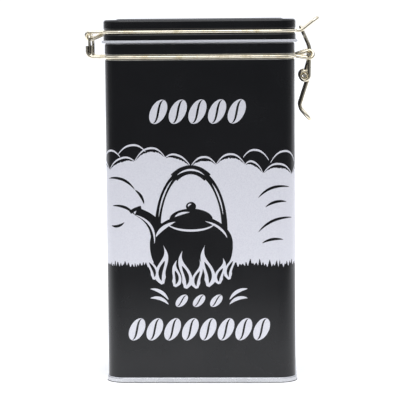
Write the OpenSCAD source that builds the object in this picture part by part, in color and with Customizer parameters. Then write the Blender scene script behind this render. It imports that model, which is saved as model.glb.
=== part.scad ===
// Clip-top coffee tin: a tall tinplate box with a hinged lid, a silicone seal and a wire toggle latch.
// X runs from the hinge to the latch, Y from front to back. The origin is the middle of the base.

/* [Tin] */
// Width of the body, hinge side to latch side
tin_w = 105; // [100:0.5:115]
// Depth of the body, front to back
tin_d = 76; // [70:0.5:84]
// Height of the closed tin
tin_h = 202; // [196:1:215]
// Radius of the upright corners
corner_r = 10; // [9:0.5:14]
// Thickness of the tinplate
sheet_t = 0.4; // [0.3:0.05:0.45]
// Height of the seam that closes the base
seam_h = 2.9; // [2.5:0.1:3.5]
// How far the base seam stands out from the wall
seam_out = 0.8; // [0.5:0.1:1.2]

/* [Lid] */
// Height of the lid, skirt to top
lid_h = 11.8; // [11.5:0.1:13]
// How far the lid stands out from the body all round
lid_over = 0.6; // [0.3:0.1:0.8]
// Depth of the pan that dips into the mouth
pan_depth = 4.2; // [3:0.1:5]
// Thickness of the seal between lid and body
seal_t = 1.5; // [1.2:0.1:2]
// How far the seal shows beyond the body
seal_out = 1.7; // [1:0.1:1.9]

/* [Wires] */
// Diameter of the ring, lever and link wires
wire_d = 1.9; // [1.7:0.05:2]
// Diameter of the hinge staple's wire
staple_d = 1.6; // [1.4:0.05:1.6]
// Height of the groove in the body
base_wire_z = 180.9; // [176:0.1:182]
// Height of the groove in the lid, above the skirt's edge
lid_wire_up = 4.6; // [4.4:0.1:5]
// Depth of the wire's middle below the wall's face
wire_in = 0.35; // [0.2:0.05:0.5]
// Radius of the bent eyes
eye_r = 2.05; // [2.05:0.05:2.3]

/* [Hinge] */
// Distance from the tin's middle to the hinge axis
hinge_x = 62.7; // [62:0.1:65]
// Height of the risers' cut ends
riser_top = 187.1; // [186:0.1:188]
// Half the distance between the risers
riser_y = 12.4; // [12.4:0.1:16]

/* [Latch] */
// Distance from the tin's middle to the lever's pivot
pivot_x = 60.9; // [60.5:0.1:62]
// Height of the lever's pivot above the body groove
pivot_up = 0.65; // [0:0.05:1]
// Length of the lever from its pivot to the link's pivot
toggle_len = 12.3; // [12:0.1:13]
// Lean of that length towards the tin, from upright
toggle_lean = 12; // [8:0.5:14]
// Half the distance between the lever's pivot eyes
eye_y = 19; // [19:0.1:22]
// Radius of the lever's coils
coil_r = 2.45; // [2.3:0.05:2.6]
// Half the width of the lid's finger tab
tab_y = 10.5; // [10.5:0.1:11]

/* [Hidden] */
$fn = 48;

lacquer = "#2b2c30";
tinplate = "#c9cacb";
brassed = "#d8cda4";
silicone = "#d6d7db";

wire_r = wire_d / 2;
staple_r = staple_d / 2;
over = 1;                                  // how far a cutting shape runs past what it cuts
seal_gap = 0.05;                           // clearance between the seal and the rim
seal_in = 4.4;                             // how far the seal reaches in from the wall's face
seal_flat = 0.05;                          // half the flat part of the seal's round edge
lid_z = tin_h - lid_h;
rim_z = lid_z - seal_t - seal_gap;
lid_wire_z = lid_z + lid_wire_up;
lid_w = tin_w + 2 * lid_over;
lid_d = tin_d + 2 * lid_over;
lid_r = corner_r + lid_over;

// Rolled groove: a round channel with a rounded lip above and below
groove_r = wire_r + 0.05;
lip_r = 1.5;
lip_half = sqrt(pow(groove_r + lip_r, 2) - pow(lip_r - wire_in, 2));
wall_depth = 5;                            // how far in a wall's section is drawn

curl_r = 1.1;                              // rolled edge of the mouth
lid_edge_r = 1.5;
pan_flange = 4.6;                          // width of the pan's flange, from the wall's face
panel_border = 5;                          // plain border round a stepped panel
panel_run = 1.6;                           // width of the step
panel_rise = 0.5;
panel_steps = 8;
seam_in = 1.3;                             // how far the base seam reaches in from the wall's face
seam_round = 0.7;
slot_z = 1;                                // where the wall ends inside the seam
floor_z = seam_h - sheet_t;
floor_in = seam_in - 0.1;                  // the floor panel runs a little way into the seam
lap_w = 4;                                 // lap joint up the back of the body
lap_t = 0.15;

// Wire rings round the body and the lid
ring_x = tin_w / 2 - wire_in;
ring_y = tin_d / 2 - wire_in;
ring_r = corner_r - wire_in;
lid_ring_x = lid_w / 2 - wire_in;
lid_ring_y = lid_d / 2 - wire_in;
lid_ring_r = lid_r - wire_in;
strand = wire_d + 0.05;                    // spacing of two wires that lie side by side
turn_r = 1.6;                              // tight bend where a wire leaves its groove
end_gap = 0.15;                            // half the gap between a ring's cut ends
wire_lap = 0.12;                           // how far a straight stretch runs into a bend
wire_hair = 0.006;                         // how much finer it is

hinge_z = lid_wire_z - eye_r;
hinge_eye_y = 8.6;
riser_x = hinge_x + 1.1;                   // the risers stand a little outside the staple
riser_bend = 3;
weld_gap = 0.02;                           // the staple's legs are welded to the risers
staple_y = riser_y - (wire_r + staple_r) - weld_gap;
staple_end = base_wire_z + 0.4;

tab_root = 56.6;                           // where the finger tab starts to rise
tab_end = 65.6;
tab_rise = 7.1;
tab_bend = 5;
tab_corner = 3;

pivot_z = base_wire_z + pivot_up;
link_x = pivot_x - toggle_len * sin(toggle_lean);
link_z = pivot_z - toggle_len * cos(toggle_lean);
arm_y = eye_y - 3.4;                       // half the distance between the lever's arms
pin_end = eye_y + 3.2;                     // the pins pass right through the eyes
grip_y = arm_y - strand;
grip_lean = 18;                            // lean of the lever's lower arms from upright
grip_bend_z = 151.8;
grip_tip = [61.2, 144.9];
grip_bend = 4;
grip_corner = 5;

link_y = 8;                                // half the distance between the link's arms
link_pin_end = arm_y + 1.5;
link_top = [56.4, 196.8];
link_bow = [62.3, 183.2];
link_bow_r = 14;
link_foot = 2;
link_corner = 2.5;

// ---- Shapes that several pieces share ----

// Rectangle with round corners
module round_rect(w, d, r) {
    square([w - 2 * r, d], center = true);
    square([w, d - 2 * r], center = true);
    for (x = [-1, 1], y = [-1, 1])
        translate([x * (w / 2 - r), y * (d / 2 - r)]) circle(r = r);
}

// Carries a section all the way round a rectangle with round corners; the section's x is measured
// outwards from the outline and its y is the height
module around(w, d, r) {
    for (side = [0, 180]) {
        rotate(side) translate([w / 2, 0, 0]) rotate([90, 0, 0])
            linear_extrude(height = d - 2 * r, center = true) children();
        rotate(side + 90) translate([d / 2, 0, 0]) rotate([90, 0, 0])
            linear_extrude(height = w - 2 * r, center = true) children();
    }
    for (x = [0, 1], y = [0, 1])
        mirror([x, 0, 0]) mirror([0, y, 0])
            translate([w / 2 - r, d / 2 - r, 0])
                rotate_extrude(angle = 90) translate([r, 0]) children();
}

// What a rolled groove takes out of a wall's section; inset gives the inner face of the sheet
module groove_cut(inset) {
    touch_x = -wire_in - (groove_r + inset) * (lip_r - wire_in) / (groove_r + lip_r);
    translate([-wire_in, 0]) circle(r = groove_r + inset);
    difference() {
        translate([touch_x, -lip_half]) square([over - touch_x, 2 * lip_half]);
        for (side = [-1, 1])
            translate([-lip_r, side * lip_half]) circle(r = lip_r - inset);
    }
}

module wall_section(inset, z0, z1, groove_z) {
    difference() {
        translate([-wall_depth, z0]) square([wall_depth - inset, z1 - z0]);
        translate([0, groove_z]) groove_cut(inset);
    }
}

// Sheet wall with a groove rolled into it
module wall_skin(z0, z1, groove_z) {
    difference() {
        wall_section(0, z0, z1, groove_z);
        wall_section(sheet_t, z0 - over, z1 + over, groove_z);
    }
}

// Flat sheet with a soft step up to a raised panel in the middle; z is its upper face at the edge
module stepped_sheet(w, d, r, z, rise) {
    around(w, d, r)
        translate([-panel_border, z - sheet_t]) square([panel_border, sheet_t]);
    around(w, d, r)
        polygon([
            for (i = [0 : panel_steps])
                [-panel_border - panel_run * i / panel_steps, z + soft_step(i / panel_steps) * rise],
            for (i = [panel_steps : -1 : 0])
                [-panel_border - panel_run * i / panel_steps,
                 z - sheet_t + soft_step(i / panel_steps) * rise]
        ]);
    inner = panel_border + panel_run;
    translate([0, 0, z - sheet_t + rise])
        linear_extrude(height = sheet_t) round_rect(w - 2 * inner, d - 2 * inner, r - inner);
}

function soft_step(t) = (1 - cos(180 * t)) / 2;

// ---- Bent wire ----

function unit(a) = a / norm(a);

// Turning angles that carry the X, Y and Z axes onto the unit vectors x, y and z
function axis_angles(x, y, z) =
    abs(x[2]) > 0.999999
        ? [atan2(-x[2] * y[0], y[1]), -90 * sign(x[2]), 0]
        : [atan2(y[2], z[2]), -asin(x[2]), atan2(x[1], x[0])];

// Round wire through a list of corners, each [x, y, z, bend radius]. A straight stretch is finer than
// the bends by a hair and reaches a little way into them, so that all of them join as one solid
module bent_wire(route, r) {
    last = len(route) - 1;
    function corner(i) = [route[i][0], route[i][1], route[i][2]];
    function heading(i) = unit(corner(i + 1) - corner(i));
    function turn(i) = acos(heading(i - 1) * heading(i));
    function trim(i) = i == 0 || i == last ? 0 : route[i][3] * tan(turn(i) / 2);
    function reach(i) = i == 0 || i == last ? 0 : wire_lap;
    for (i = [0 : last - 1]) {
        from = corner(i) + (trim(i) - reach(i)) * heading(i);
        length = norm(corner(i + 1) - corner(i)) - trim(i) - trim(i + 1);
        translate(from)
            rotate([0, acos(heading(i)[2]), atan2(heading(i)[1], heading(i)[0])])
                cylinder(h = length + reach(i) + reach(i + 1), r = r - wire_hair);
    }
    for (i = [1 : last - 1]) {
        ahead = heading(i - 1);
        axle = unit(cross(ahead, heading(i)));
        inward = cross(axle, ahead);
        translate(corner(i) - trim(i) * ahead + route[i][3] * inward)
            rotate(axis_angles(-inward, ahead, axle))
                rotate_extrude(angle = turn(i)) translate([route[i][3], 0]) circle(r = r);
    }
}

// Route reversed and carried to the other side of the middle plane, to finish a symmetric wire
function far_half(route) = [
    for (i = [len(route) - 1 : -1 : 0]) [route[i][0], -route[i][1], route[i][2], route[i][3]]
];

// Corners of an eye bent round the point (cx, cz), with both strands starting at (kx, kz).
// side is 1 for an eye that points along +X; first is 1 when the upper strand comes first
function eye_route(kx, kz, cx, cz, side, first, y0, y1) =
    let (run = side * (cx - kx), reach = norm([run, cz - kz]),
         rise = atan2(cz - kz, run), spread = asin(eye_r / reach),
         tip = cx + side * eye_r, tip_run = run + eye_r)
    [
        [kx, y0, kz, turn_r],
        [tip, y0, kz + tip_run * tan(rise + first * spread), eye_r],
        [tip, y1, kz + tip_run * tan(rise - first * spread), eye_r],
        [kx, y1, kz, turn_r]
    ];

// ---- Body ----

module tin_wall() {
    color(lacquer) {
        around(tin_w, tin_d, corner_r) {
            wall_skin(slot_z, rim_z - curl_r, base_wire_z);
            translate([-curl_r, rim_z - curl_r]) difference() {
                circle(r = curl_r);
                circle(r = curl_r - sheet_t);
                translate([0, -curl_r]) square([curl_r - sheet_t, curl_r]);
            }
        }
        translate([-lap_w / 2, tin_d / 2 - sheet_t / 2, seam_h])
            cube([lap_w, sheet_t / 2 + lap_t, base_wire_z - lip_half - 2 * seam_h]);
    }
}

module bottom_end() {
    color(tinplate) {
        around(tin_w, tin_d, corner_r) difference() {
            translate([(seam_out - seam_in) / 2, seam_h / 2])
                round_rect(seam_out + seam_in, seam_h, seam_round);
            translate([-sheet_t, slot_z]) square([sheet_t, seam_h]);
        }
        translate([0, 0, floor_z]) linear_extrude(height = sheet_t)
            round_rect(tin_w - 2 * floor_in, tin_d - 2 * floor_in, corner_r - floor_in);
    }
}

// One wire: a riser for the hinge, the groove, two eyes for the lever and back to the other riser
module base_wire() {
    half = concat(
        [
            [-riser_x, -riser_y, riser_top, 0],
            [-riser_x, -riser_y, base_wire_z, riser_bend],
            [-ring_x, -riser_y, base_wire_z, turn_r],
            [-ring_x, -ring_y, base_wire_z, ring_r],
            [ring_x, -ring_y, base_wire_z, ring_r]
        ],
        eye_route(ring_x, base_wire_z, pivot_x, pivot_z, 1, -1,
                  -eye_y - strand / 2, -eye_y + strand / 2)
    );
    color(brassed) bent_wire(concat(half, far_half(half)), wire_r);
}

module hinge_staple() {
    half = [
        [-hinge_x, -staple_y, staple_end, 0],
        [-hinge_x, -staple_y, hinge_z, turn_r]
    ];
    color(brassed) bent_wire(concat(half, far_half(half)), staple_r);
}

// ---- Lid ----

module lid_shell() {
    top_z = tin_h - panel_rise;
    color(lacquer) {
        around(lid_w, lid_d, lid_r) {
            wall_skin(lid_z, top_z - lid_edge_r, lid_wire_z);
            translate([-lid_edge_r, top_z - lid_edge_r]) intersection() {
                difference() {
                    circle(r = lid_edge_r);
                    circle(r = lid_edge_r - sheet_t);
                }
                square(lid_edge_r);
            }
        }
        stepped_sheet(lid_w - 2 * lid_edge_r, lid_d - 2 * lid_edge_r, lid_r - lid_edge_r,
                      top_z, panel_rise);
    }
}

// Inner pan that closes the lid and dips into the mouth
module lid_pan() {
    color(tinplate) {
        around(tin_w, tin_d, corner_r) {
            translate([-pan_flange, lid_z]) square([pan_flange - sheet_t, sheet_t]);
            translate([-pan_flange - sheet_t, lid_z - pan_depth]) square([sheet_t, pan_depth + sheet_t]);
        }
        translate([0, 0, lid_z - pan_depth])
            linear_extrude(height = sheet_t)
                round_rect(tin_w - 2 * pan_flange - sheet_t, tin_d - 2 * pan_flange - sheet_t,
                           corner_r - pan_flange - sheet_t / 2);
    }
}

module seal_ring() {
    color(silicone)
        around(tin_w, tin_d, corner_r)
            translate([(seal_out - seal_in) / 2, lid_z - seal_t / 2])
                round_rect(seal_out + seal_in, seal_t, seal_t / 2 - seal_flat);
}

// One wire: the groove, the finger tab over the latch and two eyes round the staple's bar
module lid_wire() {
    half = concat(
        [
            [-lid_ring_x, -end_gap, lid_wire_z, 0]
        ],
        far_half(eye_route(-lid_ring_x, lid_wire_z, -hinge_x, hinge_z, -1, 1,
                           hinge_eye_y, hinge_eye_y - strand)),
        [
            [-lid_ring_x, -lid_ring_y, lid_wire_z, lid_ring_r],
            [lid_ring_x, -lid_ring_y, lid_wire_z, lid_ring_r],
            [lid_ring_x, -tab_y, lid_wire_z, turn_r],
            [tab_root, -tab_y, lid_wire_z, tab_bend],
            [tab_end, -tab_y, lid_wire_z + tab_rise, tab_corner]
        ]
    );
    color(brassed) bent_wire(concat(half, far_half(half)), wire_r);
}

// ---- Latch ----

// One wire: a pin in each base wire eye, a coil round each foot of the link, and a grip below
module latch_lever() {
    side_x = link_x + coil_r;
    grip_x = link_x + (coil_r - (link_z - grip_bend_z) * sin(grip_lean)) / cos(grip_lean);
    top_x = grip_x + (link_z + coil_r - grip_bend_z) * tan(grip_lean);
    step = strand / 4;
    half = [
        [pivot_x, -pin_end, pivot_z, 0],
        [pivot_x, -arm_y, pivot_z, turn_r],
        [side_x, -arm_y, link_z - coil_r, coil_r],
        [link_x - coil_r, -arm_y + step, link_z - coil_r, coil_r],
        [link_x - coil_r, -arm_y + 2 * step, link_z + coil_r, coil_r],
        [top_x, -arm_y + 3 * step, link_z + coil_r, coil_r],
        [grip_x, -grip_y, grip_bend_z, grip_bend],
        [grip_tip[0], -grip_y, grip_tip[1], grip_corner]
    ];
    color(brassed) bent_wire(concat(half, far_half(half)), wire_r);
}

// One wire: a foot through each coil, two bowed arms and the bar that holds the lid's tab down
module latch_link() {
    half = [
        [link_x, -link_pin_end, link_z, 0],
        [link_x, -link_y, link_z, link_foot],
        [link_bow[0], -link_y, link_bow[1], link_bow_r],
        [link_top[0], -link_y, link_top[1], link_corner]
    ];
    color(brassed) bent_wire(concat(half, far_half(half)), wire_r);
}

tin_wall();
bottom_end();
base_wire();
hinge_staple();
lid_shell();
lid_pan();
seal_ring();
lid_wire();
latch_lever();
latch_link();
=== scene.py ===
# %% [markdown]
# # A clip-top coffee tin
# The real object is a box of thin tinplate, lacquered black and printed in white, with a hinged lid, a
# silicone seal and a latch of bent, brass-plated wire. Every solid part comes from the CAD frame, already
# in its place and at its real size. What is left to make here is the printed picture, the finishes, and
# the light that shows them.

# %% Load the frame
import math
import random

import bpy
from mathutils import Matrix, Vector


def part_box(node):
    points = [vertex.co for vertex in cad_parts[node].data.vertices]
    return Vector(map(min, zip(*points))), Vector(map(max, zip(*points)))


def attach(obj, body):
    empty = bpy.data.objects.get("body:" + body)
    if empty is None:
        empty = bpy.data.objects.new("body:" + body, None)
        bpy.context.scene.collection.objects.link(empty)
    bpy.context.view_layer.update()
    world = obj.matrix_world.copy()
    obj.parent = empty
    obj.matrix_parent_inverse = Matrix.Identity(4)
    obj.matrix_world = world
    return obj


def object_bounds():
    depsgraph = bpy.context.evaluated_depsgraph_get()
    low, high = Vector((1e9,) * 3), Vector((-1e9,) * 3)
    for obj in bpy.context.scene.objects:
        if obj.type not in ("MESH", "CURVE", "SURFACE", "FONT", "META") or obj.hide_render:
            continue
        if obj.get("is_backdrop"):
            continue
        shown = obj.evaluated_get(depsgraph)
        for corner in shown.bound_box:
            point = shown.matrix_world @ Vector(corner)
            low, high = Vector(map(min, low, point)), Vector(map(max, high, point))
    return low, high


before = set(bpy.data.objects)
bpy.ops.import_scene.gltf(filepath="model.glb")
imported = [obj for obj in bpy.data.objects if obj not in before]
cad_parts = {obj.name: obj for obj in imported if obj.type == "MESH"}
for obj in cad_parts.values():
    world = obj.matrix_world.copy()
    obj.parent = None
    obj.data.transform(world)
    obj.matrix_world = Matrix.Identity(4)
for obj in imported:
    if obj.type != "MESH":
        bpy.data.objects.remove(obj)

MM = 0.001                                  # Blender works in metres; tin makers work in millimetres
cad_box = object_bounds()
print("nodes from the frame:", ", ".join(sorted(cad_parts)))
print("size in mm:", [round((high - low) / MM, 1) for low, high in zip(*cad_box)])

# %% [markdown]
# ## The camera
# Goods are best shown through a long lens from about a metre away, level with the lid and a little to
# one side, so the upright edges stay almost parallel. The camera is aimed first and then rolled by half a
# degree, because a real one is never perfectly level. A lens length could be guessed and the camera moved
# until the tin fits; working it out from the distance and the width to be shown takes one step.

# %% Place the camera
tin_low, tin_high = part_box("tin_wall")
front_y = tin_low.y                         # the printed front faces -Y

VIEW_DISTANCE = 1.0                         # metres from the front of the tin
VIEW_SIDE = 0.040
VIEW_HEIGHT = 0.2
VIEW_WIDTH = 0.2208                         # what the picture shows at the front of the tin
AIM = Vector((0, front_y, 0.1022))
ROLL = math.radians(-0.48)

camera = bpy.data.objects.new("camera", bpy.data.cameras.new("camera"))
bpy.context.collection.objects.link(camera)
camera.location = (VIEW_SIDE, front_y - VIEW_DISTANCE, VIEW_HEIGHT)
sight = AIM - camera.location
camera.data.sensor_width = 36
camera.data.lens = camera.data.sensor_width * sight.length / VIEW_WIDTH
turn = sight.to_track_quat("-Z", "Y").to_matrix() @ Matrix.Rotation(ROLL, 3, "Z")
camera.rotation_euler = turn.to_euler()
bpy.context.scene.camera = camera
print("lens in mm:", round(camera.data.lens, 1))

# %% [markdown]
# ## Colours and shader nodes
# Colours are written as the sRGB hex codes that a printer or a web page would use. A renderer adds light
# up in linear numbers, so one function turns every code to linear. A second small function adds a node,
# gives it its settings and joins its inputs, which keeps each material down to the lines that matter, and
# a third starts a new material.


# %% Helpers for materials
def paint(code):
    """Linear RGBA from an sRGB hex code such as #d8cda4."""
    levels = [int(code[i:i + 2], 16) / 255 for i in (1, 3, 5)]
    return [c / 12.92 if c <= 0.04045 else ((c + 0.055) / 1.055) ** 2.4 for c in levels] + [1]


def add(tree, kind, inputs=None, **settings):
    """Adds a node. A value in inputs is a number or colour, or another node's output to link from."""
    node = tree.nodes.new(kind)
    for name, value in settings.items():
        setattr(node, name, value)
    for socket, source in (inputs or {}).items():
        if isinstance(source, bpy.types.NodeSocket):
            tree.links.new(source, node.inputs[socket])
        else:
            node.inputs[socket].default_value = source
    return node


def start_material(name):
    """A new material with its node tree, its main shader and object coordinates in metres."""
    material = bpy.data.materials.new(name)
    material.use_nodes = True
    tree = material.node_tree
    return material, tree, tree.nodes["Principled BSDF"], add(tree, "ShaderNodeTexCoord").outputs["Object"]


print("the mid grey #808080 is", round(paint("#808080")[0], 3), "in linear light")

# %% [markdown]
# ## Black lacquer
# Tinplate for packaging is roller-coated with black lacquer and stoved until it is hard and glossy. The
# roller leaves a faint orange peel a millimetre or two across, and handling leaves smudges a few
# centimetres wide that only show in the gloss. A plain dark colour would look like plastic. The smudges
# go into the roughness and the peel into a slight bump, because the eye sees both only in reflections.

# %% Black stoved lacquer
LACQUER_IOR = 1.5                           # alkyd and epoxy lacquers are close to this
PEEL = 1.6 * MM                             # spacing of the orange peel
SMUDGE = 28 * MM                            # width of a smudge


def lacquered(name):
    """A material with stoved black lacquer, and the outputs of its colour and roughness."""
    material, tree, shader, where = start_material(name)
    smudges = add(tree, "ShaderNodeTexNoise", {"Vector": where, "Scale": 1 / SMUDGE, "Detail": 4.0})
    peel = add(tree, "ShaderNodeTexNoise", {"Vector": where, "Scale": 1 / PEEL, "Detail": 2.0})
    gloss = add(tree, "ShaderNodeMapRange",
                {"Value": smudges.outputs["Fac"], "From Min": 0.3, "From Max": 0.7,
                 "To Min": 0.2, "To Max": 0.3})
    shade = add(tree, "ShaderNodeMix",
                {0: smudges.outputs["Fac"], 6: paint("#050609"), 7: paint("#090a0e")}, data_type="RGBA")
    relief = add(tree, "ShaderNodeBump",
                 {"Height": peel.outputs["Fac"], "Strength": 0.12, "Distance": 0.02 * MM})
    tree.links.new(shade.outputs[2], shader.inputs["Base Color"])
    tree.links.new(gloss.outputs[0], shader.inputs["Roughness"])
    tree.links.new(relief.outputs[0], shader.inputs["Normal"])
    shader.inputs["IOR"].default_value = LACQUER_IOR
    return material, tree, shader, where, shade.outputs[2], gloss.outputs[0]


lacquer = lacquered("black stoved lacquer")[0]
print("orange peel in mm:", PEEL / MM)

# %% [markdown]
# The sheet for the wall is lacquered on one side only, so the inside of the tin is bare metal. The two
# faces are the thickness of the sheet apart, which is enough for the material to tell them from each
# other: it measures how far a point lies from the wall's rounded-rectangle outline.

# %% Wall sheet, lacquered outside and bare inside
CORNER = 10.0                               # radius of the wall's upright corners, mm
HALF_SHEET = 0.2                            # half the thickness of the sheet, mm
BLOTCH = 6 * MM                             # size of the cloudy patches on the bare side
BARE_ROUGHNESS = 0.38
half_w = -tin_low.x / MM
half_d = -tin_low.y / MM
flat_run = half_w - CORNER                  # half the flat part of the front

wall_sheet, tree, shader, where, black, black_gloss = lacquered("lacquered wall sheet")
folded = add(tree, "ShaderNodeVectorMath", {0: where}, operation="ABSOLUTE")
centre = (flat_run * MM, (half_d - CORNER) * MM, 1.0)    # a metre up, so that height drops out
from_flats = add(tree, "ShaderNodeVectorMath", {0: folded.outputs[0], 1: centre}, operation="SUBTRACT")
beyond = add(tree, "ShaderNodeVectorMath", {0: from_flats.outputs[0], 1: (0, 0, 0)}, operation="MAXIMUM")
reach = add(tree, "ShaderNodeVectorMath", {0: beyond.outputs[0]}, operation="LENGTH")
inside = add(tree, "ShaderNodeMath",
             {0: reach.outputs["Value"], 1: (CORNER - HALF_SHEET) * MM}, operation="LESS_THAN")
blotches = add(tree, "ShaderNodeTexNoise", {"Vector": where, "Scale": 1 / BLOTCH, "Detail": 5.0})
bare = add(tree, "ShaderNodeMix",
           {0: blotches.outputs["Fac"], 6: paint("#b9b8b4"), 7: paint("#d6d5d2")}, data_type="RGBA")
shade = add(tree, "ShaderNodeMix", {0: inside.outputs[0], 6: black, 7: bare.outputs[2]}, data_type="RGBA")
gloss = add(tree, "ShaderNodeMix", {0: inside.outputs[0], 2: black_gloss, 3: BARE_ROUGHNESS})
tree.links.new(shade.outputs[2], shader.inputs["Base Color"])
tree.links.new(gloss.outputs[0], shader.inputs["Roughness"])
tree.links.new(inside.outputs[0], shader.inputs["Metallic"])
print("the sheet is", 2 * HALF_SHEET, "mm thick")

# %% [markdown]
# ## White printing ink
# The picture is offset-printed in one opaque white, a few microns thick. White over black is never
# quite solid: it looks a touch cool and has a fine mottle where the black shows through. The mottle is
# drawn at a third of a millimetre, coarser than real, so that it can be seen.

# %% White printing ink
MOTTLE = 0.35 * MM
INK_ROUGHNESS = 0.34                        # ink is a little duller than the lacquer

white_ink, tree, shader, where = start_material("white printing ink")
mottle = add(tree, "ShaderNodeTexNoise", {"Vector": where, "Scale": 1 / MOTTLE, "Detail": 3.0})
cover = add(tree, "ShaderNodeMapRange",
            {"Value": mottle.outputs["Fac"], "From Min": 0.35, "From Max": 0.55})
shade = add(tree, "ShaderNodeMix",
            {0: cover.outputs[0], 6: paint("#dadae2"), 7: paint("#e8e8ee")}, data_type="RGBA")
tree.links.new(shade.outputs[2], shader.inputs["Base Color"])
shader.inputs["Roughness"].default_value = INK_ROUGHNESS
shader.inputs["IOR"].default_value = LACQUER_IOR      # printing ink's binder is an alkyd too
print("ink mottle in mm:", MOTTLE / MM)

# %% [markdown]
# ## Bare tinplate
# The base seam and the inside of the lid are left bare. Tin is a white metal, and flow-brightened
# tinplate is bright with a faint rolling grain along the sheet, which a noise stretched one way gives.

# %% Bare tinplate
GRAIN = 0.25 * MM                           # spacing of the rolling marks
STRETCH = 0.04                              # squeezes the noise along X, so a mark is 25 times as long
HAZE = 9 * MM                               # size of the duller patches

tinplate, tree, shader, where = start_material("bare tinplate")
along = add(tree, "ShaderNodeMapping", {"Vector": where, "Scale": (STRETCH, 1, 1)})
grain = add(tree, "ShaderNodeTexNoise", {"Vector": along.outputs[0], "Scale": 1 / GRAIN, "Detail": 3.0})
haze = add(tree, "ShaderNodeTexNoise", {"Vector": where, "Scale": 1 / HAZE, "Detail": 3.0})
gloss = add(tree, "ShaderNodeMapRange",
            {"Value": haze.outputs["Fac"], "From Min": 0.3, "From Max": 0.7,
             "To Min": 0.2, "To Max": 0.36})
shade = add(tree, "ShaderNodeMix",
            {0: grain.outputs["Fac"], 6: paint("#cacbce"), 7: paint("#dadbde")}, data_type="RGBA")
relief = add(tree, "ShaderNodeBump",
             {"Height": grain.outputs["Fac"], "Strength": 0.05, "Distance": 0.005 * MM})
tree.links.new(shade.outputs[2], shader.inputs["Base Color"])
tree.links.new(gloss.outputs[0], shader.inputs["Roughness"])
tree.links.new(relief.outputs[0], shader.inputs["Normal"])
shader.inputs["Metallic"].default_value = 1
print("tinplate grain in mm:", GRAIN / MM)

# %% [markdown]
# ## Brass-plated wire
# The wires are drawn steel with a thin, pale flash of brass. The plating is bright, but it is duller and
# browner where a die or a bending tool has rubbed it, in patches a few millimetres long.

# %% Brass-plated steel wire
RUB = 5 * MM                                # length of a rubbed patch
DRAW_MARKS = 0.2 * MM                       # fine pits and lines from the drawing die

brass, tree, shader, where = start_material("brass-plated wire")
rubs = add(tree, "ShaderNodeTexNoise", {"Vector": where, "Scale": 1 / RUB, "Detail": 4.0})
pits = add(tree, "ShaderNodeTexNoise", {"Vector": where, "Scale": 1 / DRAW_MARKS, "Detail": 1.0})
worn = add(tree, "ShaderNodeMapRange",
           {"Value": rubs.outputs["Fac"], "From Min": 0.5, "From Max": 0.72})
gloss = add(tree, "ShaderNodeMapRange", {"Value": worn.outputs[0], "To Min": 0.17, "To Max": 0.32})
shade = add(tree, "ShaderNodeMix",
            {0: worn.outputs[0], 6: paint("#ece4cf"), 7: paint("#cdbf9c")}, data_type="RGBA")
relief = add(tree, "ShaderNodeBump",
             {"Height": pits.outputs["Fac"], "Strength": 0.08, "Distance": 0.01 * MM})
tree.links.new(shade.outputs[2], shader.inputs["Base Color"])
tree.links.new(gloss.outputs[0], shader.inputs["Roughness"])
tree.links.new(relief.outputs[0], shader.inputs["Normal"])
shader.inputs["Metallic"].default_value = 1
print("rubbed patches in mm:", RUB / MM)

# %% [markdown]
# ## Silicone seal
# The seal is moulded silicone rubber: milky, a little translucent, with a matt skin from the mould and a
# bloom of fine dust. A touch of subsurface scattering keeps its edge from looking like painted plastic.

# %% Moulded silicone
BLOOM = 2.5 * MM                            # size of the dusty patches
SKIN = 0.3 * MM                             # texture of the mould
SILICONE_IOR = 1.41
SCATTER = 0.5 * MM                          # how far light travels inside

silicone, tree, shader, where = start_material("moulded silicone")
bloom = add(tree, "ShaderNodeTexNoise", {"Vector": where, "Scale": 1 / BLOOM, "Detail": 4.0})
skin = add(tree, "ShaderNodeTexNoise", {"Vector": where, "Scale": 1 / SKIN, "Detail": 2.0})
shade = add(tree, "ShaderNodeMix",
            {0: bloom.outputs["Fac"], 6: paint("#c4c6cc"), 7: paint("#dfe0e4")}, data_type="RGBA")
relief = add(tree, "ShaderNodeBump",
             {"Height": skin.outputs["Fac"], "Strength": 0.2, "Distance": 0.02 * MM})
tree.links.new(shade.outputs[2], shader.inputs["Base Color"])
tree.links.new(relief.outputs[0], shader.inputs["Normal"])
shader.inputs["Roughness"].default_value = 0.5
shader.inputs["IOR"].default_value = SILICONE_IOR
shader.inputs["Subsurface Weight"].default_value = 0.2
shader.inputs["Subsurface Radius"].default_value = (1, 1, 1)
shader.inputs["Subsurface Scale"].default_value = SCATTER
print("silicone bloom in mm:", BLOOM / MM)

# %% [markdown]
# ## Dressing the parts
# Each part of the frame keeps its shape and only gets its finish, through its own material slots.

# %% Give every part its finish
finishes = {
    "tin_wall": wall_sheet, "lid_shell": lacquer,
    "bottom_end": tinplate, "lid_pan": tinplate,
    "base_wire": brass, "hinge_staple": brass, "lid_wire": brass,
    "latch_lever": brass, "latch_link": brass,
    "seal_ring": silicone,
}
for part, finish in finishes.items():
    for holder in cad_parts[part].material_slots:
        holder.material = finish
    print(part, "is", finish.name)

# %% [markdown]
# ## Drawing on a wrapped sheet
# The tin is printed flat and then bent round a former. The same idea works here: the picture is drawn on
# a flat strip, where u is the distance round the wall from the middle of the front and v is the height,
# both in millimetres, and every point is then wrapped onto the wall. A texture could carry the picture,
# but a mesh keeps its edges sharp at any distance. Each patch of ink is a thin closed solid, a few
# hundredths of a millimetre proud, and a patch that is printed over another stands a little higher.

# %% Wrap a flat strip round the tin
bend_run = CORNER * math.pi / 2
side_run = 2 * (half_d - CORNER)
panel = flat_run + bend_run + side_run / 2  # from the middle of the front to the middle of a side
SINK = 0.02                                 # how far a patch reaches into the wall, mm


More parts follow.
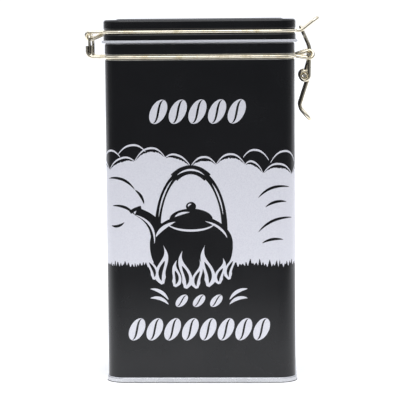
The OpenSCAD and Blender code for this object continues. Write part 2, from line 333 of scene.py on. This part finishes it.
def wrap(u, v, lift):
    """The point u mm round the wall and v mm up, lift mm off its surface."""
    u = (u + 2 * panel) % (4 * panel) - 2 * panel
    run = abs(u)
    reach = CORNER + lift
    if run <= flat_run:
        x, y = run, -half_d - lift
    elif run <= flat_run + bend_run:
        angle = (run - flat_run) / CORNER
        x, y = flat_run + reach * math.sin(angle), CORNER - half_d - reach * math.cos(angle)
    elif run <= flat_run + bend_run + side_run:
        x, y = half_w + lift, CORNER - half_d + run - flat_run - bend_run
    elif run <= flat_run + 2 * bend_run + side_run:
        angle = (run - flat_run - bend_run - side_run) / CORNER
        x, y = flat_run + reach * math.cos(angle), half_d - CORNER + reach * math.sin(angle)
    else:
        x, y = 2 * panel - run, half_d + lift
    return Vector((math.copysign(x, u), y, v)) * MM


print("the wall measures", round(4 * panel, 1), "mm round")

# %% [markdown]
# Three kinds of mark are enough for the whole picture: a band between a lower and an upper edge, a brush
# stroke of changing width, and a filled outline. Each gives flat points and faces, and one function
# wraps a list of marks onto the wall and closes them into solids.


# %% Bands, brush strokes and filled outlines
FINEST = 0.04                               # the finest line that a brush leaves, mm


def ladder(pairs):
    """Strip of faces between pairs of points."""
    points = [point for pair in pairs for point in pair]
    faces = [(2 * i, 2 * i + 2, 2 * i + 3, 2 * i + 1) for i in range(len(pairs) - 1)]
    return points, faces


def band(columns):
    """Filled strip; columns are (u, low edge, high edge) from left to right."""
    return ladder([((u, low), (u, max(low, high))) for u, low, high in columns])


def brush(path, width):
    """Stroke along path; width is a function of the share of the way along, and gives mm."""
    pairs = []
    for i, (u, v) in enumerate(path):
        before, after = path[max(i - 1, 0)], path[min(i + 1, len(path) - 1)]
        du, dv = after[0] - before[0], after[1] - before[1]
        half = max(width(i / (len(path) - 1)), FINEST) / 2 / math.hypot(du, dv)
        pairs.append(((u + dv * half, v - du * half), (u - dv * half, v + du * half)))
    return ladder(pairs)


def fill(outline):
    """Filled shape round its own middle; outline runs anticlockwise."""
    middle = tuple(sum(axis) / len(outline) for axis in zip(*outline))
    count = len(outline)
    return [middle, *outline], [(0, i + 1, (i + 1) % count + 1) for i in range(count)]


def print_marks(name, marks, lift, ink, turns=(0,), stack=0):
    """Wraps marks onto the wall, once for each turn round it, as thin solids fixed to the tin.
    With stack, each mark stands that much higher than the one before, so marks may overlap."""
    points, faces = [], []
    for turn in turns:
        for order, (flat, flat_faces) in enumerate(marks):
            start, count = len(points), len(flat)
            for depth in (lift + stack * order, -SINK):
                points += [wrap(u + turn, v, depth) for u, v in flat]
            edges = {(face[i - 1], face[i]) for face in flat_faces for i in range(len(face))}
            shell = flat_faces + [tuple(i + count for i in reversed(face)) for face in flat_faces]
            shell += [(b, a, a + count, b + count) for a, b in sorted(edges) if (b, a) not in edges]
            faces += [tuple(i + start for i in face) for face in shell]
    mesh = bpy.data.meshes.new(name)
    mesh.from_pydata(points, [], faces)
    mesh.materials.append(ink)
    piece = bpy.data.objects.new(name, mesh)
    bpy.context.collection.objects.link(piece)
    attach(piece, "tin")
    print(name, "has", len(marks) * len(turns), "marks and", len(faces), "faces")


# %% [markdown]
# ## The clouds and the ground
# The picture is a generic one: a bank of clouds over a ragged line of grass, which runs all round the
# tin. A cloud's edge is a chain of arcs that meet in points. Each arc is drawn as a wood-cut artist does:
# a white outline, a crescent left black under it, and the white body of the cloud, whose edge is speckled
# as if dabbed on with a dry brush.

# %% Cloud bank and grass
OUTLINE = 1.1                               # width of a cloud's outline, mm
CRESCENT = 2.2                              # black gap under the middle of an arc, mm
COLUMN = 0.4                                # spacing of the columns that make a band, mm
CUSP = 0.55                                 # share of the outline's width that is left at a cusp
FULLNESS = 2.3                              # 2 gives a parabola, and more a rounder cloud
SPECKLE = 0.35                              # how far the dry brush strays, mm
GROUND = 66.0                               # height of the ground, mm
FRONT_AND_BACK = (0, 2 * panel)
CLOUD_LIFT, OUTLINE_LIFT = 0.03, 0.04       # how far the ink stands proud, mm
cloud_cusps = [(-panel, 116), (-67, 117), (-51, 119), (-36, 124), (-19, 126), (-5, 121),
               (9, 122), (25, 122), (35, 117), (52, 116), (69, 118), (panel, 116)]
cloud_rises = [6, 6, 4.5, 6.5, 4, 5, 6, 4, 6, 6, 5]
upper_arcs = [((-58, 123.5), (-44, 126.5), 5), ((-45, 128), (-30, 129.5), 4.5),
              ((24, 126), (38, 124.5), 5), ((39, 123), (55, 123), 6.5),
              ((56, 122.5), (73, 123.5), 5.5), ((-78, 122.5), (-62, 123), 5)]

dice = random.Random(11)


def arch(start, end, rise, share):
    """A point on a cloud's arc from start to end, bulging upwards by rise."""
    return (start[0] + (end[0] - start[0]) * share,
            start[1] + (end[1] - start[1]) * share + rise * (1 - abs(2 * share - 1) ** FULLNESS))


def grass_line():
    """The ragged ground line, blade by blade, from one side of the panel to the other."""
    line, u = [(-panel, GROUND)], -panel + 1.2
    while u < panel - 2.5:
        line.append((u, GROUND + dice.uniform(-1.5, 0.3)))
        u += dice.uniform(0.5, 1.4)
        line.append((u, GROUND + dice.choice((1.2, 1.8, 2.4, 3.8)) * dice.uniform(0.6, 1.1)))
        u += dice.uniform(0.4, 1.2)
    return line + [(panel, GROUND)]


def height_on(line, u):
    """Height of a line of points at u."""
    for (u0, v0), (u1, v1) in zip(line, line[1:]):
        if u0 <= u <= u1:
            return v0 + (v1 - v0) * (u - u0) / (u1 - u0)
    return line[-1][1]


def cloud(start, end, rise):
    """The outline band and the body band of one arc."""
    edge, body = [], []
    steps = round((end[0] - start[0]) / COLUMN)
    for i in range(steps + 1):
        u, v = arch(start, end, rise, i / steps)
        bulge = 1 - (2 * i / steps - 1) ** 2
        speckle = dice.uniform(-SPECKLE, SPECKLE) * bulge
        edge.append((u, v - OUTLINE * (CUSP + (1 - CUSP) * bulge), v))
        body.append((u, height_on(grass, u), v - OUTLINE / 2 - CRESCENT * bulge + speckle))
    return band(edge), band(body)


grass = grass_line()
clouds = [cloud(*place) for place in zip(cloud_cusps, cloud_cusps[1:], cloud_rises)]
bodies = [body for edge, body in clouds]
outlines = [edge for edge, body in clouds]
distant = [cloud(*place)[0] for place in upper_arcs]
print_marks("print_clouds", bodies, CLOUD_LIFT, white_ink, FRONT_AND_BACK)
print_marks("print_cloud_outlines", outlines, OUTLINE_LIFT, white_ink, FRONT_AND_BACK)
print_marks("print_upper_arcs", distant, CLOUD_LIFT, white_ink, FRONT_AND_BACK)
print("grass blades:", len(grass) // 2)

# %% [markdown]
# A few black strokes, thick in the middle and fine at both ends, shade the clouds. They are printed over
# the white. Their ends are placed in open areas, clear of the kettle.


# %% Black shading strokes
STROKE = 1.5                                # widest part of a stroke, mm
STROKE_LIFT = 0.05


def taper(widest):
    """Width of a stroke that is fine at both ends."""
    return lambda share: widest * math.sin(math.pi * share) ** 0.7


def swoop(start, end, bow, steps=28):
    """A curved path from start to end that bows to its left by bow."""
    du, dv = end[0] - start[0], end[1] - start[1]
    length = math.hypot(du, dv)
    path = []
    for i in range(steps + 1):
        share = i / steps
        out = bow * 4 * share * (1 - share) / length
        path.append((start[0] + du * share - dv * out, start[1] + dv * share + du * out))
    return path


shading = [((-52, 114), (-36, 108), 3), ((-36, 108), (-31, 100), 1), ((-49, 99), (-36, 94), 2),
           ((-50, 88), (-42, 90), -1.2), ((50, 109), (32, 103), -3), ((48, 101), (36, 98), -1.5),
           ((52, 92), (32, 84), -3), ((46, 80), (34, 78), -1.2), ((66, 108), (80, 102), 2.5),
           ((-66, 104), (-79, 108), 2), ((-66, 90), (-80, 85), -2), ((62, 86), (77, 89), 1.8)]
strokes = [brush(swoop(*ends), taper(STROKE)) for ends in shading]
print_marks("print_shading", strokes, STROKE_LIFT, lacquer, FRONT_AND_BACK)

# %% [markdown]
# ## The kettle on the fire
# The middle of the front is a plain stove-top kettle over flames: a black shape whose edges catch the
# light in white rim lines. Its shapes are a few ellipses and swoops round the middle of its body, so it
# can be restyled by changing a handful of numbers. The back has the weld seam, so it is left without one.

# %% Kettle
KETTLE_U, KETTLE_V = -5.0, 78.0             # middle of the kettle's body, at its widest
KETTLE_W = 46.0
SHOULDER = 16.0                             # how far the body reaches above its middle
BELLY = 20.0                                # and below it
HANDLE_W, HANDLE_H = 37.0, 66.0
HANDLE_V = KETTLE_V + 8                     # height of the middle of the handle's ellipse
KETTLE_LIFT = 0.055
STACK = 0.006                               # height between overlapping marks, mm
OVAL_STEPS = 56


def oval(u, v, width, height, start=0, end=360):
    """Points along an ellipse, anticlockwise from start to end in degrees."""
    angles = [math.radians(start + (end - start) * i / OVAL_STEPS) for i in range(OVAL_STEPS + 1)]
    return [(u + width / 2 * math.cos(a), v + height / 2 * math.sin(a)) for a in angles]


def pot(inset):
    """The body's outline from its right side: a round shoulder over a squarer belly."""
    reach = KETTLE_W / 2 - inset
    top = oval(KETTLE_U, KETTLE_V, 2 * reach, 2 * (SHOULDER - inset), 0, 180)
    below = [math.pi * (1 + i / OVAL_STEPS) for i in range(OVAL_STEPS + 1)]
    belly = [(KETTLE_U + reach * math.copysign(abs(math.cos(a)) ** 0.75, math.cos(a)),
              KETTLE_V - (BELLY - inset) * abs(math.sin(a)) ** 0.85) for a in below]
    return top + belly[1:-1]


def bail(start, end, narrower=0, lower=0):
    """Part of the bail handle's ellipse, from start to end in degrees."""
    return oval(KETTLE_U, HANDLE_V, HANDLE_W - narrower, HANDLE_H - lower, start, end)


lid_v = KETTLE_V + SHOULDER * 0.84
knob_v = lid_v + 7.2
spout_foot = (KETTLE_U - KETTLE_W * 0.38, KETTLE_V - 3)
spout_tip = (KETTLE_U - KETTLE_W * 0.66, KETTLE_V + 18)
lip = ((spout_tip[0] - 3.4, spout_tip[1] - 0.6), (spout_tip[0] + 2.8, spout_tip[1] + 2.2))
kettle = [
    fill(pot(0)),
    fill(oval(KETTLE_U, lid_v, 24, 12)[:-1]),
    fill(oval(KETTLE_U, knob_v, 5.6, 5)[:-1]),
    brush(swoop(spout_foot, spout_tip, -4.5), lambda share: 11 - 6.6 * share),
    brush(swoop(*lip, 0.4), lambda share: 1.9),
    brush(bail(-3, 183), lambda share: 3.2),
    brush(bail(60, 120), lambda share: 5.0),
]
print_marks("print_kettle", kettle, KETTLE_LIFT, lacquer, stack=STACK)

# %% [markdown]
# Light catches the kettle along the lid's seam, the shoulder, the spout and the handle. Flames lick up in
# front of it. Each is a wavy stroke, full low down and running out to a point, with a dark heart.


# %% Rim lights and flames
SHINE_INSET = 2.6                           # how far inside the body's edge its lights lie, mm
LIGHT_LIFT, HEART_LIFT = 0.11, 0.22         # both clear the stack beneath


def tongue(foot, tip, bend, begin=0, end=1, steps=32):
    """A wavy path from foot to tip, or the part of it from begin to end."""
    shares = [begin + (end - begin) * i / steps for i in range(steps + 1)]
    return [(foot[0] + (tip[0] - foot[0]) * t + bend * math.sin(2 * math.pi * t),
             foot[1] + (tip[1] - foot[1]) * t) for t in shares]


def flame_width(widest):
    """Width of a flame: rounded at the foot, full low down and pointed at the tip."""
    return lambda share: widest * (1 - share) ** 1.3 * (1 + 1.9 * share) * min(1, 0.3 + 5 * share)


flames = [((-26, 58), (-29, 74), 1.2, 4.2), ((-21, 55.5), (-20.5, 77), -1.5, 5.6),
          ((-14.5, 54), (-13, 69), 1.0, 4.8), ((-8.5, 53), (-10, 74), 1.5, 5.6),
          ((-2, 53), (-0.5, 69), -1.1, 4.8), ((4, 54), (2.5, 77), 1.6, 5.8),
          ((10.5, 55.5), (12.5, 70), -1.1, 4.8), ((16, 58), (18, 75), -1.3, 4.2)]
fire, hearts = [], []
for foot, tip, bend, width in flames:
    fire.append(brush(tongue(foot, tip, bend), flame_width(width)))
    hearts.append(brush(tongue(foot, tip, bend, 0.08, 0.6), taper(width * 0.4)))
lights = [
    brush(pot(SHINE_INSET)[4:22], taper(1.3)),
    brush(pot(SHINE_INSET)[36:52], taper(2.0)),
    brush(oval(KETTLE_U, lid_v - 1.2, 27, 10, 192, 348), taper(1.2)),
    brush(oval(KETTLE_U, lid_v, 19, 8, 95, 160), taper(1.3)),
    brush(oval(KETTLE_U, knob_v, 3.0, 2.6, 80, 190), taper(0.9)),
    brush(bail(66, 114, narrower=0.2, lower=0.2), taper(1.1)),
    brush(bail(124, 168, narrower=0.4), taper(0.8)),
    brush(bail(14, 50, narrower=0.4), taper(0.8)),
    brush(swoop((spout_foot[0] - 3, spout_foot[1] + 3), (spout_tip[0] - 0.5, spout_tip[1] - 2), -3.8),
          taper(1.3)),
]
print_marks("print_kettle_lights", lights + fire, LIGHT_LIFT, white_ink, stack=STACK)
print_marks("print_flame_hearts", hearts, HEART_LIFT, lacquer)

# %% [markdown]
# ## Coffee beans and leaves
# A bean is a leaning ellipse with an S-shaped slit. The slit is left unprinted, so the bean is drawn as
# two halves, one on either side of it. Two small leaves stand on each side of the middle group.

# %% Coffee beans and leaves
BEAN_STEPS = 24
BEAN_PLUMP = 0.29                           # half width of a bean as a share of its length
SLIT_REACH = 0.97                           # how far the slit runs toward the bean's ends
SLIT_SWING, SLIT_GAP = 0.26, 0.15           # its S and its half width, as shares of the bean's
BEAN_LIFT = 0.04


def bean(u, v, length, lean):
    """The two halves of a bean, with an S-shaped slit between them."""
    half, width = length / 2, length * BEAN_PLUMP
    c, s = math.cos(math.radians(lean)), math.sin(math.radians(lean))
    halves = []
    for side in (1, -1):
        pairs = []
        for i in range(BEAN_STEPS + 1):
            angle = math.pi * i / BEAN_STEPS
            rim = (half * math.cos(angle), side * width * math.sin(angle))
            swing = SLIT_SWING * math.sin(2 * angle) + side * SLIT_GAP * math.sin(angle)
            slit = (SLIT_REACH * rim[0], width * swing)
            pair = [(u + a * c - b * s, v + a * s + b * c) for a, b in (slit, rim)]
            pairs.append(pair[::-side])
        halves.append(ladder(pairs))
    return halves


MIDDLE_U = -1                               # the rows stand a little left of the wall's middle
bean_rows = [(5, 10.8, 151.0, 14.5, 62), (3, 9.6, 46.0, 8.5, 45), (8, 9.9, 30.0, 13.5, 62)]
beans = []
for count, pitch, v, length, lean in bean_rows:
    for i in range(count):
        beans += bean((i - (count - 1) / 2) * pitch + MIDDLE_U, v, length, lean)
leaves = []
for side in (-1, 1):
    for rise in (0, 2.6):
        stalk = (side * 17 + MIDDLE_U, 44 + rise)
        point = (side * 27 + MIDDLE_U, 47.5 + rise * 2)
        leaves.append(brush(swoop(stalk, point, side * 1.6), taper(1.9)))
print_marks("print_beans", beans, BEAN_LIFT, white_ink)
print_marks("print_leaves", leaves, BEAN_LIFT, white_ink)

# %% [markdown]
# ## The studio
# A black, glossy tin looks like whatever it mirrors. White paper lies on a light table under the tin and
# far behind it, with a bright backdrop above, so the outline is crisp and hardly a shadow shows. The
# camera's side of the room is dim, or the black would look grey. The paper's light fades too, from a
# hand's length in front of the tin, and the mirror image of its bright part is the lighter zone at the
# The edge of the fade runs back at both sides, which keeps the bright strips on the corners
# narrow. A black sheet under the tin, cut to its outline and showing a hair beyond it, is painted contact
# shadow: it gives the base seam a dark, crisp lower edge.
# Backdrop, room and overhead diffuser are drawn into the world's light, by direction, instead of as more
# objects.

# %% Paper sweep
PAPER_SIZE = 6.0                            # metres from the tin to the edge of the paper
PAPER_GLOW = 0.3                            # light that comes up through the paper
# The black card is painted contact shadow: a dark sheet where the tin's foot has only shade.
SHADOW_OUT = 0.95                             # how far the card shows beyond the wall, mm
SHADOW_HEIGHT = 0.02                          # how high it lies over the paper, mm
SHADOW_POINTS = 160
FIBRE = 2 * MM                              # spacing of the fibres in paper and card
FADE_START, FADE_END = 0.16, 0.38           # where the paper darkens, metres in front of the tin
FADE_SPREAD = 0.5                           # how far back the fade runs for each metre to the side
ROOM = 0.18                                 # brightness of the dim side of the room

sweep, tree, shader, where = start_material("white paper sweep")
fibres = add(tree, "ShaderNodeTexNoise", {"Vector": where, "Scale": 1 / FIBRE, "Detail": 3.0})
white = add(tree, "ShaderNodeMix",
            {0: fibres.outputs["Fac"], 6: paint("#f4f4f4"), 7: paint("#fbfbfb")}, data_type="RGBA")
across = add(tree, "ShaderNodeSeparateXYZ", {0: where})
aside = add(tree, "ShaderNodeMath", {0: across.outputs["X"]}, operation="ABSOLUTE")
edge = add(tree, "ShaderNodeMath",
           {0: aside.outputs[0], 1: -FADE_SPREAD, 2: across.outputs["Y"]}, operation="MULTIPLY_ADD")
lit = add(tree, "ShaderNodeMapRange",
          {"Value": edge.outputs[0], "From Min": front_y - FADE_END, "From Max": front_y - FADE_START},
          interpolation_type="SMOOTHSTEP")
# In front of the tin the paper's own colour goes from white to the room's grey: painted shade.
shade = add(tree, "ShaderNodeMix",
            {0: lit.outputs[0], 6: (ROOM, ROOM, ROOM, 1), 7: white.outputs[2]}, data_type="RGBA")
tree.links.new(shade.outputs[2], shader.inputs["Base Color"])
through = add(tree, "ShaderNodeMath", {0: lit.outputs[0], 1: PAPER_GLOW}, operation="MULTIPLY")
tree.links.new(through.outputs[0], shader.inputs["Emission Strength"])
shader.inputs["Emission Color"].default_value = paint("#ffffff")
shader.inputs["Roughness"].default_value = 0.9

# Black card under the tin: painted contact shadow, which darkens the underside of the base seam.
painted_shadow, tree, shader, where = start_material("black sheet of painted shadow")
fibres = add(tree, "ShaderNodeTexNoise", {"Vector": where, "Scale": 1 / FIBRE, "Detail": 3.0})
shade = add(tree, "ShaderNodeMix",
            {0: fibres.outputs["Fac"], 6: paint("#050505"), 7: paint("#0c0c0c")}, data_type="RGBA")
tree.links.new(shade.outputs[2], shader.inputs["Base Color"])
shader.inputs["Roughness"].default_value = 0.9


def lay(name, outline, material):
    """A flat sheet that is part of the set and not of the tin."""
    mesh = bpy.data.meshes.new(name)
    mesh.from_pydata(outline, [], [tuple(range(len(outline)))])
    mesh.materials.append(material)
    sheet = bpy.data.objects.new(name, mesh)
    bpy.context.collection.objects.link(sheet)
    sheet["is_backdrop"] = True


lay("floor", [(-PAPER_SIZE, -PAPER_SIZE, 0), (PAPER_SIZE, -PAPER_SIZE, 0),
              (PAPER_SIZE, PAPER_SIZE, 0), (-PAPER_SIZE, PAPER_SIZE, 0)], sweep)
shadow_outline = [wrap(4 * panel * i / SHADOW_POINTS, SHADOW_HEIGHT, SHADOW_OUT) for i in range(SHADOW_POINTS)]
lay("painted_shadow_card", shadow_outline, painted_shadow)
print("the paper fades from", FADE_START, "to", FADE_END, "metres in front of the tin")

# %% [markdown]
# Two broad soft boxes stand at the sides, a little behind the tin. With the backdrop they draw the light
# strips down its rounded corners. A third, over the camera, lights the print.

# %% Lights
BACKDROP = 1.2                              # brightness of the backdrop
BACK_START, BACK_FULL = 0.6, 0.92           # how squarely a direction points back, from 0 to 1
DIFFUSER = 1.3                              # brightness overhead
UP_START, UP_FULL = 0.12, 0.65              # how squarely a direction points up

world = bpy.data.worlds.new("studio")
bpy.context.scene.world = world
world.use_nodes = True
tree = world.node_tree
toward = add(tree, "ShaderNodeSeparateXYZ", {0: add(tree, "ShaderNodeTexCoord").outputs["Generated"]})
backdrop = add(tree, "ShaderNodeMapRange",
               {"Value": toward.outputs["Y"], "From Min": BACK_START, "From Max": BACK_FULL,
                "To Min": ROOM, "To Max": BACKDROP}, interpolation_type="SMOOTHSTEP")
overhead = add(tree, "ShaderNodeMapRange",
               {"Value": toward.outputs["Z"], "From Min": UP_START, "From Max": UP_FULL,
                "To Min": 0.0, "To Max": DIFFUSER}, interpolation_type="SMOOTHSTEP")
glow = add(tree, "ShaderNodeMath", {0: backdrop.outputs[0], 1: overhead.outputs[0]}, operation="MAXIMUM")
tree.links.new(glow.outputs[0], tree.nodes["Background"].inputs["Strength"])
tree.nodes["Background"].inputs["Color"].default_value = paint("#f4f6fc")


def soft_box(name, place, width, height, watts):
    """A rectangular soft light at place, facing the middle of the tin."""
    lamp = bpy.data.lights.new(name, "AREA")
    lamp.shape = "RECTANGLE"
    lamp.size, lamp.size_y, lamp.energy = width, height, watts
    holder = bpy.data.objects.new(name, lamp)
    bpy.context.collection.objects.link(holder)
    holder.location = place
    sight = Vector((0, 0, tin_high.z / 2)) - holder.location
    holder.rotation_euler = sight.to_track_quat("-Z", "Y").to_euler()


soft_box("left_light", place=(-1.2, 0.1, 0.5), width=1.0, height=1.0, watts=0.3)
soft_box("right_light", place=(1.2, 0.1, 0.5), width=1.0, height=1.0, watts=0.3)
soft_box("key_light", place=(0.1, -0.9, 1.3), width=1.2, height=0.7, watts=5.0)
bpy.context.scene.view_settings.view_transform = "Standard"
print("lights:", len(bpy.data.lights))

# %% [markdown]
# ## Measuring the result
# Ink must not make the tin any bigger, so the finished box is measured against the frame's and the
# largest difference is printed.

# %% Measure the ink's growth
final_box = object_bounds()
growth = max(abs(a - b) for new, old in zip(final_box, cad_box) for a, b in zip(new, old))
print("the ink makes the box larger by", round(growth / MM, 2), "mm")
